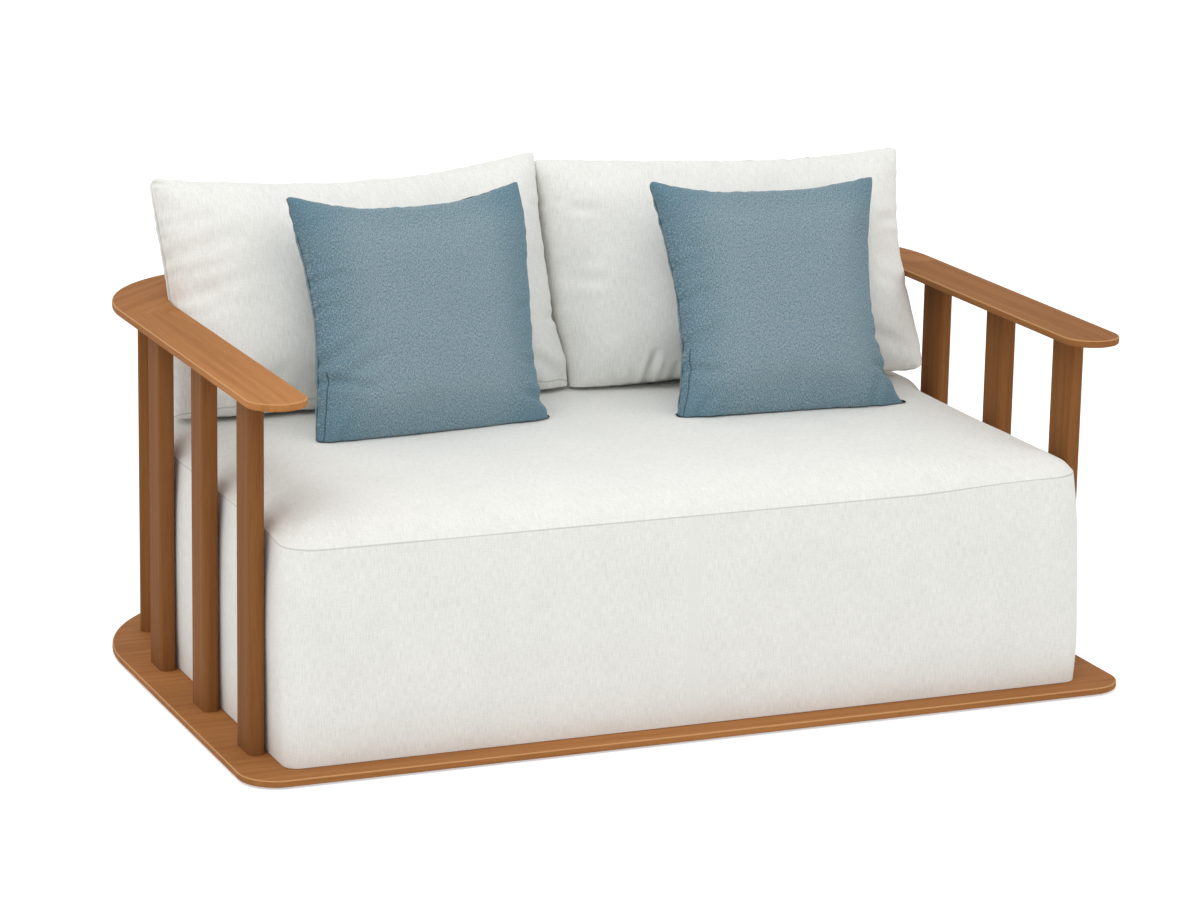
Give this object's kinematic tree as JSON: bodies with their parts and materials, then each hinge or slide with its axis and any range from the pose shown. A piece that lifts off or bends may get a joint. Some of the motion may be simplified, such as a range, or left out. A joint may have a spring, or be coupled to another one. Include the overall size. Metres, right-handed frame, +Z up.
{
  "type": "patio loveseat",
  "caption": "Two-seat outdoor sofa: upholstered seat block in a slatted U-shaped wooden rail on a round-cornered wooden tray, with loose back cushions and pillows.",
  "frame": {"origin": "on the ground under the middle of the base", "axes": "+Z up, +Y to the rear, so the front faces -Y, and +X to the right seen from the front"},
  "size_m": [1.6, 1.08, 0.8326],
  "materials": {
    "stained_wood": "honey-brown stained hardwood, satin oil, fine straight grain",
    "white_fabric": "off-white heathered outdoor weave",
    "blue_fabric": "blue-grey melange outdoor weave",
    "frame_plywood": "raw plywood",
    "joinery_beech": "raw beech",
    "screw_steel": "stainless steel",
    "glide_nylon": "black nylon",
    "foam": "open-cell foam and padding",
    "lining": "fibre filling in a plain lining"
  },
  "bodies": {
    "loveseat": {"base_panel": "stained_wood", "deck_screws": "screw_steel", "frame_front": "frame_plywood", "frame_left": "frame_plywood", "frame_rear": "frame_plywood", "frame_rear_left": "frame_plywood", "frame_rear_right": "frame_plywood", "frame_rib_left": "frame_plywood", "frame_rib_right": "frame_plywood", "frame_right": "frame_plywood", "glides": "glide_nylon", "rail_back": "stained_wood", "rail_dowels": "joinery_beech", "rail_left_arm": "stained_wood", "rail_left_corner": "stained_wood", "rail_right_arm": "stained_wood", "rail_right_corner": "stained_wood", "rail_tongues": "joinery_beech", "seat_cover": "white_fabric", "seat_deck": "frame_plywood", "seat_foam": "foam", "seat_padding": "foam", "seat_screws": "screw_steel", "slat_left_1": "stained_wood", "slat_left_2": "stained_wood", "slat_left_3": "stained_wood", "slat_left_4": "stained_wood", "slat_left_5": "stained_wood", "slat_left_6": "stained_wood", "slat_rear_middle": "stained_wood", "slat_right_1": "stained_wood", "slat_right_2": "stained_wood", "slat_right_3": "stained_wood", "slat_right_4": "stained_wood", "slat_right_5": "stained_wood", "slat_right_6": "stained_wood", "slat_screws": "screw_steel"},
    "back_cushion_left": {"back_cushion_left_cover": "white_fabric", "back_cushion_left_filling": "lining"},
    "back_cushion_right": {"back_cushion_right_cover": "white_fabric", "back_cushion_right_filling": "lining"},
    "pillow_left": {"pillow_left_cover": "blue_fabric", "pillow_left_filling": "lining"},
    "pillow_right": {"pillow_right_cover": "blue_fabric", "pillow_right_filling": "lining"}
  },
  "joints": [
    {"name": "back_cushion_left_lift", "type": "slide", "parent": "loveseat", "child": "back_cushion_left", "axis": [0, 0, 1], "range_m": [0, 0.45]},
    {"name": "back_cushion_right_lift", "type": "slide", "parent": "loveseat", "child": "back_cushion_right", "axis": [0, 0, 1], "range_m": [0, 0.45]},
    {"name": "pillow_left_lift", "type": "slide", "parent": "back_cushion_left", "child": "pillow_left", "axis": [0, 0, 1], "range_m": [0, 0.45]},
    {"name": "pillow_right_lift", "type": "slide", "parent": "back_cushion_right", "child": "pillow_right", "axis": [0, 0, 1], "range_m": [0, 0.45]}
  ]
}
